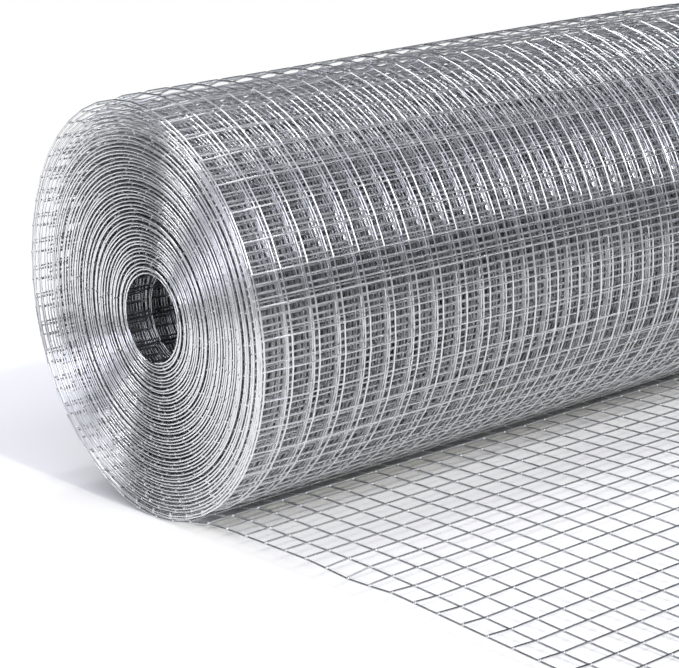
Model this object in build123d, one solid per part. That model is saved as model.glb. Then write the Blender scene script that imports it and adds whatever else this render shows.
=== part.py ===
from build123d import *
import math
import os

# A roll of welded wire mesh lying on its side, its loose end running out in front of it.
# Millimetres. +X runs along the roll, the loose end points to -Y, +Z is up and the floor is at zero.

# The mesh as it is sold
cell_size = 12.7
cells_across = 48
wire_diameter = 0.8
selvage_overhang = 1.0
bar_sides = 6
bar_flats_share = 0.952

# The roll, whose turns nest a little and so lie closer than the sheet is thick
bore_radius = 17.5
turn_count = 47
turn_pitch = 1.4584
turns_per_ridge = 3
ridge_depth = 1.0

# The loose end
cells_to_first_row = 3
panel_count = 3
rows_per_panel = 7
end_stub = 2.0
nip_clearance = 0.15

# Each wire is a hexagonal bar with the round wire's area, lying on a flat.
bar_height = wire_diameter * bar_flats_share
sheet_thickness = 2 * bar_height
mesh_width = cells_across * cell_size
half_length = mesh_width / 2 + selvage_overhang
roll_radius = bore_radius + turn_count * turn_pitch
ridge_count = turn_count // turns_per_ridge
ridge_pitch = (roll_radius - bore_radius) / ridge_count


def nip_height(reach):
    """How high above the floor the roll's surface is, this far in front of its lowest line."""
    return roll_radius - math.sqrt(roll_radius**2 - reach**2)


def nip_reach(height):
    """How far in front of its lowest line the roll's surface is, this high above the floor."""
    return math.sqrt(roll_radius**2 - (roll_radius - height) ** 2)


# The first row fits just under the roll, and from there the sheet slopes down to the floor at its edge.
# The line wires run away from the roll, and the cross wires lie on them.
first_row = cells_to_first_row * cell_size
spring_height = nip_height(first_row - wire_diameter / 2) - sheet_thickness - nip_clearance
line_start = nip_reach(spring_height + bar_height) + nip_clearance
row_count = panel_count * rows_per_panel
tail_reach = first_row + (row_count - 1) * cell_size + end_stub
slope = math.degrees(math.asin(spring_height / (tail_reach - first_row)))

# The origin is under the middle of the whole thing, so the roll's lowest line is behind it.
contact_y = (tail_reach - roll_radius) / 2
edge_line = Axis((0, contact_y - tail_reach, 0), (1, 0, 0))


def mesh_roll():
    """The wound mesh as one turned solid: a bore through it, and rings of ridges on both ends for its turns."""
    valley = half_length - ridge_depth
    rim = [(valley, bore_radius)]
    for ridge in range(ridge_count):
        inner = bore_radius + ridge * ridge_pitch
        rim.append((half_length, inner + ridge_pitch / 2))
        rim.append((valley, inner + ridge_pitch))
    far_rim = [(-along, radius) for along, radius in reversed(rim)]
    profile = make_face(Polyline(*rim, *far_rim, close=True))
    return Pos(0, contact_y, roll_radius) * revolve(profile, Axis.X)


def wire_bar(plane, length):
    """A straight wire, starting at the plane's origin, with its flats facing up and down."""
    section = plane * RegularPolygon(bar_height / 2, bar_sides, major_radius=False)
    return extrude(section, length)


def tail_panel(first, last):
    """The rows from first to last, with the line wires that carry them, welded where they cross."""
    start = line_start if first == 0 else first_row + first * cell_size - cell_size / 2
    end = tail_reach if last == row_count - 1 else first_row + last * cell_size + cell_size / 2
    bars = []
    for line in range(cells_across + 1):
        foot = (line * cell_size - mesh_width / 2, contact_y - start, bar_height / 2)
        bars.append(wire_bar(Plane(foot, x_dir=(1, 0, 0), z_dir=(0, -1, 0)), end - start))
    for row in range(first, last + 1):
        foot = (-half_length, contact_y - first_row - row * cell_size, sheet_thickness - bar_height / 2)
        bars.append(wire_bar(Plane(foot, x_dir=(0, 1, 0), z_dir=(1, 0, 0)), 2 * half_length))
    return (Part() + bars).rotate(edge_line, slope)


os.makedirs("parts", exist_ok=True)
export_step(mesh_roll(), "parts/mesh_roll.step")
for panel in range(panel_count):
    first = panel * rows_per_panel
    export_step(tail_panel(first, first + rows_per_panel - 1), f"parts/loose_end_panel_{panel + 1}.step")
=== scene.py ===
import math

import bpy
import numpy as np
from mathutils import Matrix, Vector


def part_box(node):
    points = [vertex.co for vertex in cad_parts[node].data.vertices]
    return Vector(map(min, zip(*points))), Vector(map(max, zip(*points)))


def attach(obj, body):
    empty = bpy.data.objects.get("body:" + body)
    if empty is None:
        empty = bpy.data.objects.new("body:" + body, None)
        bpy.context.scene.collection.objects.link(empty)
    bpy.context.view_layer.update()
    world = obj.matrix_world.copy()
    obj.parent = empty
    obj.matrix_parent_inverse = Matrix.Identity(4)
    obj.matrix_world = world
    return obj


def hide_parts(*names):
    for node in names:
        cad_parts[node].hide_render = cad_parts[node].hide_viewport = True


# A roll of galvanised welded wire mesh, wound from round wires, with its loose end running out in front.
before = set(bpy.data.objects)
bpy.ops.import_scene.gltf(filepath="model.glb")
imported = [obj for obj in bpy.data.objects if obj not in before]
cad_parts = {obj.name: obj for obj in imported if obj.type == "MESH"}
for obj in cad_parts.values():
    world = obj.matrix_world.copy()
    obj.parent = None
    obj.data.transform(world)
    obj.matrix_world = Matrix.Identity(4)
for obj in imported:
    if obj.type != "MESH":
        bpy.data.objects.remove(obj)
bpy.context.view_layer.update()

# Sizes taken from the frame, in metres
roll_low, roll_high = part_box("mesh_roll")
edge_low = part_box("loose_end_panel_3")[0]
contact_y = (roll_low.y + roll_high.y) / 2
tail_reach = contact_y - edge_low.y

# The mesh as it is sold
cells_across = 48
cad_overhang = 0.001
wire_radius = 0.0004
wire_overhang = 0.00045
weld_sink_share = 0.12
mesh_width = roll_high.x - roll_low.x - 2 * cad_overhang
first_line_x = roll_low.x + cad_overhang
cell_size = mesh_width / cells_across
cross_depth = 2 * wire_radius * (1 - weld_sink_share)
weld_radius = 0.0009
weld_rise = 0.0011
weld_depth = cross_depth / 2 + wire_radius
outer_weld_share = 0.9
end_weld_share = 0.7
loose_weld_share = 1

# The winding, which opens out a little towards the top
bore_radius = 0.0175
turn_count = 47
axis_height = 0.0852
inner_line_radius = bore_radius + cross_depth + wire_radius
bottom_pitch = (axis_height - wire_radius - inner_line_radius) / turn_count
top_pitch_extra = 0.000112

# The outer turns stand off the rest over the top and down the front, most of all half way along the roll.
top_lift = 0.0020
edge_lift = 0.0016
middle_lift = 0.0045
lift_edge_cells = 1.5
top_half_angle = math.radians(80)
top_kept_share = 0.7
loose_turn_shares = (0.30, 0.48, 0.77, 0.93)
top_loose_kept_share = 0.62
front_loose_kept_share = 0.15
front_turn_shares = (0.5, 0.66)

# Each turn is wound a little further along than the one outside it.
end_recess = 0.006

# The loose end springs up as it leaves the roll.
spring_height = 0.0066
spring_rise_reach = 0.048
spring_fall_reach = 0.108

# The near edge wire of the loose end is pushed in a little, and dips and rises in a kink.
# The kink's points are cells out from the roll's lowest line, and height.
edge_tuck = 0.0013
edge_kink = ((8, 0), (10, -0.0012), (11, -0.0004), (12, 0.0008), (20, 0.0008), (23, 0))

# The unevenness of the winding and of the sheet
random_seed = 20
noise_size = 1024
radial_wander = 0.00012
radial_steps_per_turn = 7
axial_wander = 0.0007
axial_steps_per_turn = 2.3
sheet_wander = 0.0002
sheet_wander_step = 0.05

# Turns, counted from the outside, at which the wires get plainer
outer_turns = 3
near_turns = 9
middle_turns = 25
inner_turns = 35


def ease(share):
    """A smooth step from zero to one."""
    share = np.clip(share, 0, 1)
    return share * share * (3 - 2 * share)


def wander(seed, *spots):
    """Seeded smooth noise from -1 to 1 at these spots, whose grid has a spacing of one."""
    grid = np.random.RandomState(seed).uniform(-1, 1, (noise_size,) * len(spots))
    low = [np.floor(spot).astype(int) for spot in spots]
    shares = [ease(spot - floor) for spot, floor in zip(spots, low)]
    total = 0
    for corner in np.ndindex(*(2,) * len(spots)):
        weight = 1
        for side, share in zip(corner, shares):
            weight = weight * (share if side else 1 - share)
        spot = tuple((floor + side) % noise_size for floor, side in zip(low, corner))
        total = total + weight * grid[spot]
    return total


# The winding's path, sampled finely: the sheet runs in along the floor, up the back and over the top.
samples_per_turn = 360
turns = np.linspace(0, turn_count, turn_count * samples_per_turn + 1)
around = turns * 2 * np.pi
top_share = (1 - np.cos(around)) / 2
turn_radius = inner_line_radius + (turn_count - turns) * (bottom_pitch + top_pitch_extra * top_share**2)
turn_radius += radial_wander * wander(random_seed, turns * radial_steps_per_turn) * np.clip(turns, 0, 1)
from_top = np.arccos(np.clip(-np.cos(around), -1, 1))
turn_radius += top_lift * ease(1 - from_top / top_half_angle) * top_kept_share ** np.floor(turns)
path_y = contact_y + turn_radius * np.sin(around)
path_z = axis_height - turn_radius * np.cos(around)
path_length = np.concatenate([[0], np.cumsum(np.hypot(np.diff(path_y), np.diff(path_z)))])
path_shift = end_recess * turns / turn_count
axial_noise = wander(random_seed + 1, turns * axial_steps_per_turn)
path_shift += axial_wander * axial_noise * np.clip(turns - 1, 0, 1)
loose_start, loose_full, loose_fall, loose_end = loose_turn_shares
path_loose = ease((turns % 1 - loose_start) / (loose_full - loose_start))
path_loose *= ease((loose_end - turns % 1) / (loose_end - loose_fall))
front_start, front_full = front_turn_shares
in_front = ease((turns % 1 - front_start) / (front_full - front_start))
loose_kept = top_loose_kept_share + (front_loose_kept_share - top_loose_kept_share) * in_front
path_loose *= loose_kept ** np.floor(turns)


def turn_to_length(turn):
    """How far along the wound sheet this many turns from the outside is."""
    return float(np.interp(turn, turns, path_length))


def tail_height(reach):
    """Height of the line wires' centres this far out in front of the roll's lowest line."""
    fall = (reach - spring_fall_reach) / (tail_reach - spring_fall_reach)
    return wire_radius + spring_height * ease(reach / spring_rise_reach) * ease(1 - fall)


def sheet_inward(length):
    """Unit direction, in y and z, from line wires to cross wires. The loose end has negative lengths."""
    step = wire_radius
    before = sheet_base(length - step)
    after = sheet_base(length + step)
    span = np.hypot(after[0] - before[0], after[1] - before[1])
    return -(after[1] - before[1]) / span, (after[0] - before[0]) / span


def sheet_base(length):
    """The line wires' y and z at this length along the sheet, before the outer turns stand off."""
    wound = np.clip(length, 0, None)
    y = np.where(length < 0, contact_y + length, np.interp(wound, path_length, path_y))
    z = np.where(length < 0, tail_height(-length), np.interp(wound, path_length, path_z))
    return y, z


def sheet_points(length, share, depth):
    """Points of the sheet at these lengths and shares of its width, this deep inside its line wires."""
    wound = np.clip(length, 0, None)
    y, z = sheet_base(length)
    in_y, in_z = sheet_inward(length)
    from_edge = np.minimum(share, 1 - share) * cells_across
    swell = (1 - np.cos(2 * np.pi * share)) / 2
    belly = edge_lift * ease(from_edge / lift_edge_cells) + middle_lift * swell
    loose = np.interp(wound, path_length, path_loose) * belly
    step_along = length / sheet_wander_step
    step_across = share * mesh_width / sheet_wander_step
    uneven = sheet_wander * wander(random_seed + 2, step_along, step_across)
    uneven = uneven * np.clip(np.abs(length) / cell_size - 1, 0, 1)
    uneven = np.where(length < 0, np.abs(uneven) * ease((length + tail_reach) / cell_size), uneven)
    kink_cells, kink_heights = zip(*edge_kink)
    kink = np.interp(-length / cell_size, kink_cells, kink_heights)
    tuck = edge_tuck * ease(-length / cell_size / kink_cells[0])
    near_edge = ease(1 - share * cells_across)
    along_in = depth - loose + uneven + kink * near_edge
    x = first_line_x + share * mesh_width + np.interp(wound, path_length, path_shift) + tuck * near_edge
    return np.stack(np.broadcast_arrays(x, y + in_y * along_in, z + in_z * along_in), -1)


# Corners of every face in a map whose first direction runs along the wire
face_corners = ((0, 0), (0, 1), (1, 1), (1, 0))
face_radius_share = 0.45


def own_places(faces):
    """A map in which every face has a square of its own, in rows."""
    columns = math.ceil(math.sqrt(sum(len(group) for group in faces)))
    places = []
    first = 0
    for group in faces:
        number = first + np.arange(len(group))
        corner = (np.arange(group.shape[1]) + 1 / 2) * 2 * np.pi / group.shape[1]
        across = (number % columns)[:, None] + 1 / 2 + face_radius_share * np.cos(corner)
        up = (number // columns)[:, None] + 1 / 2 + face_radius_share * np.sin(corner)
        places.append(np.stack([across, up], -1).ravel() / columns)
        first += len(group)
    return np.concatenate(places)


def make_piece(name, points, faces, material, nodes):
    """A mesh that stands for these nodes, from its vertices and groups of faces, the smooth group first."""
    mesh = bpy.data.meshes.new(name)
    mesh.vertices.add(len(points))
    mesh.vertices.foreach_set("co", points.astype(np.float32).ravel())
    loops = np.concatenate([group.ravel() for group in faces])
    totals = np.concatenate([np.full(len(group), group.shape[1]) for group in faces])
    mesh.loops.add(len(loops))
    mesh.loops.foreach_set("vertex_index", loops.astype(np.int32))
    mesh.polygons.add(len(totals))
    mesh.polygons.foreach_set("loop_start", (np.cumsum(totals) - totals).astype(np.int32))
    mesh.polygons.foreach_set("use_smooth", np.arange(len(totals)) < len(faces[0]))
    mesh.update(calc_edges=True)
    along = [np.resize(face_corners, (len(group), group.shape[1], 2)).ravel() for group in faces]
    for map_name, places in (("along", np.concatenate(along)), ("OFBake", own_places(faces))):
        mesh.uv_layers.new(name=map_name).data.foreach_set("uv", places.astype(np.float32))
    mesh.materials.append(material)
    piece = bpy.data.objects.new(name, mesh)
    bpy.context.collection.objects.link(piece)
    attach(piece, "root")
    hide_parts(*nodes)
    return piece


def tubes(centres, side_a, side_b, sides):
    """Vertices and faces of round wires through these centres, with two directions across them."""
    turn = (np.arange(sides) + 1 / 2) * 2 * np.pi / sides
    ring = np.cos(turn)[:, None] * side_a[..., None, :] + np.sin(turn)[:, None] * side_b[..., None, :]
    verts = centres[:, :, None, :] + wire_radius * ring
    lengths = np.stack([verts[:, :-1], verts[:, 1:]], 2)
    index = np.arange(lengths.size // 3).reshape(-1, 2, sides)
    beside = np.roll(index, -1, axis=2)
    walls = np.stack([index[:, 0], beside[:, 0], beside[:, 1], index[:, 1]], -1).reshape(-1, 4)
    ends = np.concatenate([verts[:, 0, ::-1], verts[:, -1]])
    caps = index.size + np.arange(ends.shape[0] * sides).reshape(-1, sides)
    return np.concatenate([lengths.reshape(-1, 3), ends.reshape(-1, 3)]), [walls, caps]


def directions(length):
    """Unit vectors inward, across and along the sheet at these lengths."""
    in_y, in_z = sheet_inward(length)
    zeros = np.zeros_like(in_y)
    return (
        np.stack([zeros, in_y, in_z], -1),
        np.stack([zeros + 1, zeros, zeros], -1),
        np.stack([zeros, in_z, -in_y], -1),
    )


def line_wires(name, lines, start, end, material, nodes, per_cell, sides):
    """The line wires with these numbers, along this stretch of the sheet."""
    first = start / cell_size
    last = end / cell_size
    first_mark = math.floor(first * per_cell) + 1
    marks = np.arange(first_mark, math.ceil(last * per_cell)) / per_cell
    length = np.concatenate([[first], marks, [last]]) * cell_size
    centres = sheet_points(length[None, :], np.array(lines)[:, None] / cells_across, 0)
    inward, across, _ = directions(length)
    points, faces = tubes(centres, inward[None], across[None], sides)
    return make_piece(name, points, faces, material, nodes)


def cross_wires(name, first, last, material, nodes, steps, sides):
    """The cross wires with these numbers, counted in cells from the roll's lowest line."""
    length = np.arange(first, last + 1) * cell_size
    overhang = wire_overhang / mesh_width
    share = np.linspace(-overhang, 1 + overhang, steps + 1)
    centres = sheet_points(length[:, None], share[None, :], cross_depth)
    inward, _, along = directions(length)
    points, faces = tubes(centres, inward[:, None], along[:, None], sides)
    return make_piece(name, points, faces, material, nodes)


def weld_spots(name, lines, first, last, size_share, nodes):
    """An eight-faced bead at each crossing of these line wires with the cross wires from first to last."""
    length = np.arange(first, last + 1) * cell_size
    centre = sheet_points(length[None, :], np.array(lines)[:, None] / cells_across, cross_depth / 2)
    inward, across, along = directions(length)
    belt_tips = [sign * weld_radius * size_share * side for side in (across, along) for sign in (1, -1)]
    corners = np.stack(belt_tips + [weld_rise * size_share * inward, -weld_depth * inward], 1)
    points = centre[:, :, None, :] + corners[None]
    right, left, fore, aft, top, under = range(len(corners[0]))
    belt = (right, fore, left, aft)
    eight = [(belt[k], belt[(k + 1) % len(belt)], top) for k in range(len(belt))]
    eight += [(belt[(k + 1) % len(belt)], belt[k], under) for k in range(len(belt))]
    count = len(lines) * len(length)
    faces = np.arange(count)[:, None, None] * len(corners[0]) + np.array(eight)
    return make_piece(name, points.reshape(-1, 3), [faces.reshape(-1, 3)], weld_zinc, nodes)


# Sizes of the spots in the zinc, how finely each noise is divided, and the part of its range that is used
mottle_size = 0.005
mottle_detail = 3
dull_size = 0.018
dull_detail = 4
drawn_size = 0.00025
drawn_detail = 2
drawn_depth = 0.00001
noise_low_share = 0.35
noise_high_share = 0.65

# Roughness of the zinc, from its smooth spots to its dull ones
wire_roughness = (0.26, 0.35)
wire_bump_share = 0.5
weld_roughness = (0.42, 0.58)
weld_bump_share = 1
drawn_stretch_share = 0.85
quarter_turn_share = 0.25


def smooth_rise(tree, value, start, full, share):
    """A smooth rise from zero to this share, as the value goes from start to full."""
    rise = tree.nodes.new("ShaderNodeMapRange")
    rise.interpolation_type = "SMOOTHSTEP"
    rise.inputs["From Min"].default_value = start
    rise.inputs["From Max"].default_value = full
    rise.inputs["To Max"].default_value = share
    tree.links.new(value, rise.inputs["Value"])
    return rise.outputs["Result"]


def combine(tree, operation, first, second):
    """The result of this operation on an output and another output or a number."""
    result = tree.nodes.new("ShaderNodeMath")
    result.operation = operation
    tree.links.new(first, result.inputs[0])
    if isinstance(second, float):
        result.inputs[1].default_value = second
    else:
        tree.links.new(second, result.inputs[1])
    return result.outputs["Value"]


def zinc_surface(name, dark, pale, roughness, bump_share):
    """Zinc mottled between two colours, smooth in places and dull in others, and finely uneven."""
    material = bpy.data.materials.new(name)
    material.use_nodes = True
    nodes = material.node_tree.nodes
    links = material.node_tree.links
    shader = nodes["Principled BSDF"]
    shader.inputs["Metallic"].default_value = 1.0
    place = nodes.new("ShaderNodeTexCoord")

    def noise(size, detail):
        """Noise with spots of about this size."""
        spots = nodes.new("ShaderNodeTexNoise")
        spots.inputs["Scale"].default_value = 1 / size
        spots.inputs["Detail"].default_value = detail
        links.new(place.outputs["Object"], spots.inputs["Vector"])
        return spots.outputs["Fac"]

    colours = nodes.new("ShaderNodeValToRGB")
    low_end, high_end = colours.color_ramp.elements
    low_end.position = noise_low_share
    low_end.color = (*dark, 1)
    high_end.position = noise_high_share
    high_end.color = (*pale, 1)
    links.new(noise(mottle_size, mottle_detail), colours.inputs["Fac"])
    links.new(colours.outputs["Color"], shader.inputs["Base Color"])
    smooth, dull = roughness
    gloss = nodes.new("ShaderNodeMapRange")
    gloss.inputs["From Min"].default_value = noise_low_share
    gloss.inputs["From Max"].default_value = noise_high_share
    gloss.inputs["To Min"].default_value = smooth
    gloss.inputs["To Max"].default_value = dull
    links.new(noise(dull_size, dull_detail), gloss.inputs["Value"])
    links.new(gloss.outputs["Result"], shader.inputs["Roughness"])
    bump = nodes.new("ShaderNodeBump")
    bump.inputs["Strength"].default_value = bump_share
    bump.inputs["Distance"].default_value = drawn_depth
    links.new(noise(drawn_size, drawn_detail), bump.inputs["Height"])
    links.new(bump.outputs["Normal"], shader.inputs["Normal"])
    return material


def wire_zinc(name, dark, pale):
    """Zinc of a drawn wire, which stretches what it mirrors across its grain."""
    material = zinc_surface(name, dark, pale, wire_roughness, wire_bump_share)
    shader = material.node_tree.nodes["Principled BSDF"]
    shader.inputs["Anisotropic"].default_value = drawn_stretch_share
    shader.inputs["Anisotropic Rotation"].default_value = quarter_turn_share
    grain = material.node_tree.nodes.new("ShaderNodeTangent")
    grain.direction_type = "UV_MAP"
    grain.uv_map = "along"
    material.node_tree.links.new(grain.outputs["Tangent"], shader.inputs["Tangent"])
    return material


# One zinc in three shades. Pale zinc, the wire's own colour, is on the outer turns, the ends and the near
# cross wires.
# The duller and dark copies are that zinc with painted shade: duller on the turns just under them, the core
# and the loose end, and dark on what lies between.
zinc = wire_zinc("galvanised_wire", (0.82, 0.83, 0.84), (0.93, 0.94, 0.95))
shade_painted_zinc = wire_zinc("galvanised_wire_painted_shade", (0.56, 0.57, 0.58), (0.66, 0.67, 0.68))
deep_shade_painted_zinc = wire_zinc("galvanised_wire_painted_deep_shade", (0.43, 0.44, 0.45), (0.53, 0.54, 0.55))
weld_colours = ((0.80, 0.81, 0.82), (0.89, 0.90, 0.91))
weld_zinc = zinc_surface("galvanised_weld", *weld_colours, weld_roughness, weld_bump_share)

# The stretches of the sheet, and the cross wires at their ends
roll_node = ("mesh_roll",)
panel_nodes = ("loose_end_panel_1", "loose_end_panel_2", "loose_end_panel_3")
all_lines = range(cells_across + 1)
inner_lines = range(1, cells_across)
edge_lines = (0, cells_across)
outer_end = turn_to_length(outer_turns)
near_end = turn_to_length(near_turns)
middle_end = turn_to_length(middle_turns)
inner_end = turn_to_length(inner_turns)
wound_length = turn_to_length(turn_count)
first_rows = int(turn_to_length(1) / cell_size)
outer_rows = int(outer_end / cell_size)
near_rows = int(near_end / cell_size)
wound_rows = int(wound_length / cell_size)
tail_rows = int(tail_reach / cell_size)

# The wires of the roll, plainer the deeper they lie; under the outer turns their zinc carries painted shade
line_wires("outer_turns", all_lines, 0, outer_end, zinc, roll_node, per_cell=1, sides=6)
line_wires("near_turns", inner_lines, outer_end, near_end, shade_painted_zinc, roll_node, per_cell=1, sides=5)
line_wires("middle_turns", inner_lines, near_end, middle_end, deep_shade_painted_zinc, roll_node, per_cell=1, sides=4)
line_wires("inner_turns", inner_lines, middle_end, inner_end, deep_shade_painted_zinc, roll_node, per_cell=2, sides=3)
line_wires("core_turns", inner_lines, inner_end, wound_length, shade_painted_zinc, roll_node, per_cell=2, sides=3)
line_wires("end_turns", edge_lines, outer_end, wound_length, zinc, roll_node, per_cell=3, sides=6)
cross_wires("outer_cross_wires", 0, first_rows, zinc, roll_node, steps=cells_across * 2, sides=6)
cross_wires("near_cross_wires", first_rows + 1, near_rows, zinc, roll_node, steps=cells_across // 2, sides=6)
cross_wires("inner_cross_wires", near_rows + 1, wound_rows, deep_shade_painted_zinc, roll_node, steps=1, sides=6)
weld_spots("outer_welds", all_lines, 0, outer_rows, outer_weld_share, roll_node)
weld_spots("end_welds", edge_lines, outer_rows + 1, wound_rows, end_weld_share, roll_node)

# The wires of the loose end, in zinc with painted shade
line_wires("loose_end_lines", all_lines, -tail_reach, 0, shade_painted_zinc, panel_nodes, per_cell=1, sides=8)
cross_wires("loose_end_rows", -tail_rows, -1, shade_painted_zinc, panel_nodes, steps=cells_across, sides=8)
weld_spots("loose_end_welds", all_lines, -tail_rows, -1, loose_weld_share, panel_nodes)

# A floor that is white far off, with painted light beside the loose end's near edge and in front of the roll,
# which lightens the shadow cast there
floor_half = 12.0
floor_corners = ((-1, -1), (1, -1), (1, 1), (-1, 1))
floor_colour = (0.9, 0.9, 0.9)
glow_start = 0.45
glow_full = 1.1
mirror_full = 1.3
mirror_end = 2.0
beside_start = 0.010
beside_full = 0.003
beside_behind = 0.010
beside_ahead = 0.015
edge_painted_light_share = 0.65
front_painted_light_start = 0.038
front_painted_light_full = 0.054
front_painted_light_share = 0.28
floor_mesh = bpy.data.meshes.new("floor")
floor_points = [(x * floor_half, y * floor_half, 0) for x, y in floor_corners]
floor_mesh.from_pydata(floor_points, [], [tuple(range(len(floor_points)))])
floor = bpy.data.objects.new("floor", floor_mesh)
bpy.context.collection.objects.link(floor)
white = bpy.data.materials.new("floor_white")
white.use_nodes = True
floor_mesh.materials.append(white)
tree = white.node_tree
tree.nodes.remove(tree.nodes["Principled BSDF"])
matt = tree.nodes.new("ShaderNodeBsdfDiffuse")
matt.inputs["Color"].default_value = (*floor_colour, 1)
glow = tree.nodes.new("ShaderNodeEmission")
glow.inputs["Color"].default_value = (1, 1, 1, 1)
rays = tree.nodes.new("ShaderNodeLightPath")
camera_ray = rays.outputs["Is Camera Ray"]
place = tree.nodes.new("ShaderNodeNewGeometry")
sides = tree.nodes.new("ShaderNodeSeparateXYZ")
tree.links.new(place.outputs["Position"], sides.inputs["Vector"])
reach = tree.nodes.new("ShaderNodeVectorMath")
reach.operation = "LENGTH"
tree.links.new(place.outputs["Position"], reach.inputs[0])
far_off = smooth_rise(tree, reach.outputs["Value"], glow_start, glow_full, 1)
mirrored = smooth_rise(tree, reach.outputs["Value"], mirror_end, mirror_full, 1)
along = sides.outputs["X"]
ahead = sides.outputs["Y"]
# Painted light: where the floor is lightened over the cast shadow, beside the near edge and in front of the
# roll
edge_side = smooth_rise(tree, along, first_line_x + beside_start, first_line_x + beside_full, 1)
edge_front = smooth_rise(tree, ahead, contact_y + beside_behind, contact_y - beside_ahead, edge_painted_light_share)
front_painted_light = smooth_rise(tree, ahead, contact_y - front_painted_light_start, contact_y - front_painted_light_full, front_painted_light_share)
beside = combine(tree, "MULTIPLY", edge_side, edge_front)
backdrop_and_painted_light = combine(tree, "MAXIMUM", far_off, combine(tree, "MAXIMUM", beside, front_painted_light))
seen = combine(tree, "MAXIMUM", camera_ray, rays.outputs["Is Glossy Ray"])
tree.links.new(combine(tree, "MAXIMUM", camera_ray, mirrored), glow.inputs["Strength"])
mix = tree.nodes.new("ShaderNodeMixShader")
tree.links.new(combine(tree, "MULTIPLY", seen, backdrop_and_painted_light), mix.inputs["Fac"])
tree.links.new(matt.outputs["BSDF"], mix.inputs[1])
tree.links.new(glow.outputs["Emission"], mix.inputs[2])
tree.links.new(mix.outputs["Shader"], tree.nodes["Material Output"].inputs["Surface"])

# Two long strip lamps over the roll and a distant lamp in front of it.
# Each leans back from overhead by some degrees, or forward below zero. A strip's second number is its power.
strip_length = 2.4
strip_width = 0.055
strip_height = 1.5
strip_shift_share = 0.25
strips = {"overhead": (3, 4.6), "behind": (19, 5.5)}
sun_lean = -55
sun_strength = 1.35
sun_spread = 4
sun_colour = (1.0, 0.97, 0.86)


def sun(name):
    """A distant lamp square to the roll."""
    lamp = bpy.data.lights.new(name, "SUN")
    lamp.energy = sun_strength
    lamp.color = sun_colour
    lamp.angle = math.radians(sun_spread)
    holder = bpy.data.objects.new(name, lamp)
    lean = math.radians(sun_lean)
    toward = Vector((0, math.sin(lean), math.cos(lean)))
    holder.rotation_euler = toward.to_track_quat("Z", "Y").to_euler()
    bpy.context.collection.objects.link(holder)


def strip(name, lean_back, power):
    """A long lamp along the roll, this many degrees from overhead towards the back."""
    lamp = bpy.data.lights.new(name, "AREA")
    lamp.shape = "RECTANGLE"
    lamp.size = strip_length
    lamp.size_y = strip_width
    lamp.energy = power
    holder = bpy.data.objects.new(name, lamp)
    lean = math.radians(lean_back)
    lamp_y = contact_y + strip_height * math.sin(lean)
    holder.location = (-strip_length * strip_shift_share, lamp_y, strip_height * math.cos(lean))
    holder.rotation_euler = (-lean, 0, 0)
    bpy.context.collection.objects.link(holder)


for strip_name, (strip_lean, strip_power) in strips.items():
    strip(strip_name, strip_lean, strip_power)
sun("front")

# A dark studio with two bright panels. Levels by degrees from the floor in front, over the top, to the back
panel_levels = (
    (0, 0),
    (6, 0.28),
    (26, 0.28),
    (31, 2.5),
    (56, 2.5),
    (61, 0.62),
    (81, 0.62),
    (86, 1.15),
    (118, 1.15),
    (128, 0),
)
half_turn = 180
panel_scale = 2.5
panel_end_share = 0.7
panel_full_share = 0.3
room_level = 0.06
studio_colour = (0.89, 0.9, 1.0)
world = bpy.data.worlds.new("studio")
world.use_nodes = True
tree = world.node_tree
place = tree.nodes.new("ShaderNodeTexCoord")
sides = tree.nodes.new("ShaderNodeSeparateXYZ")
tree.links.new(place.outputs["Generated"], sides.inputs["Vector"])
front = combine(tree, "MULTIPLY", sides.outputs["Y"], -1.0)
turn = combine(tree, "ARCTAN2", sides.outputs["Z"], front)
ramp = tree.nodes.new("ShaderNodeValToRGB")
tree.links.new(combine(tree, "DIVIDE", turn, math.pi), ramp.inputs["Fac"])
stops = ramp.color_ramp.elements
stops.remove(stops[1])
for number, (degrees, panel_level) in enumerate(panel_levels):
    stop = stops.new(degrees / half_turn) if number else stops[0]
    stop.color = (panel_level / panel_scale,) * 3 + (1,)
beside = smooth_rise(tree, sides.outputs["X"], panel_end_share, panel_full_share, 1)
panels = combine(tree, "MULTIPLY", ramp.outputs["Color"], beside)
level = combine(tree, "ADD", combine(tree, "MULTIPLY", panels, panel_scale), room_level)
tree.links.new(level, tree.nodes["Background"].inputs["Strength"])
tree.nodes["Background"].inputs["Color"].default_value = (*studio_colour, 1)
bpy.context.scene.world = world

# The camera, as in the photograph, placed from the near end of the roll's lowest line
view_azimuth = math.radians(-37.999)
view_elevation = math.radians(14.049)
view_roll = math.radians(-3.363)
view_distance = 0.8986
target_along = 0.1032
target_height = 0.0592
near_clip = 0.01
focal_pixels = 2021.2
picture_pixels = 679
view_target = Vector((first_line_x + target_along, contact_y, target_height))
back = Vector(
    (
        math.sin(view_azimuth) * math.cos(view_elevation),
        -math.cos(view_azimuth) * math.cos(view_elevation),
        math.sin(view_elevation),
    )
)
level_right = Vector((math.cos(view_azimuth), math.sin(view_azimuth), 0))
level_up = back.cross(level_right)
right = math.cos(view_roll) * level_right + math.sin(view_roll) * level_up
up = math.cos(view_roll) * level_up - math.sin(view_roll) * level_right
camera_data = bpy.data.cameras.new("camera")
camera_data.lens = camera_data.sensor_width * focal_pixels / picture_pixels
camera_data.clip_start = near_clip
camera = bpy.data.objects.new("camera", camera_data)
turned = Matrix((right, up, back)).transposed().to_4x4()
camera.matrix_world = Matrix.Translation(view_target + back * view_distance) @ turned
bpy.context.collection.objects.link(camera)
bpy.context.scene.camera = camera
bpy.context.scene.view_settings.view_transform = "Standard"
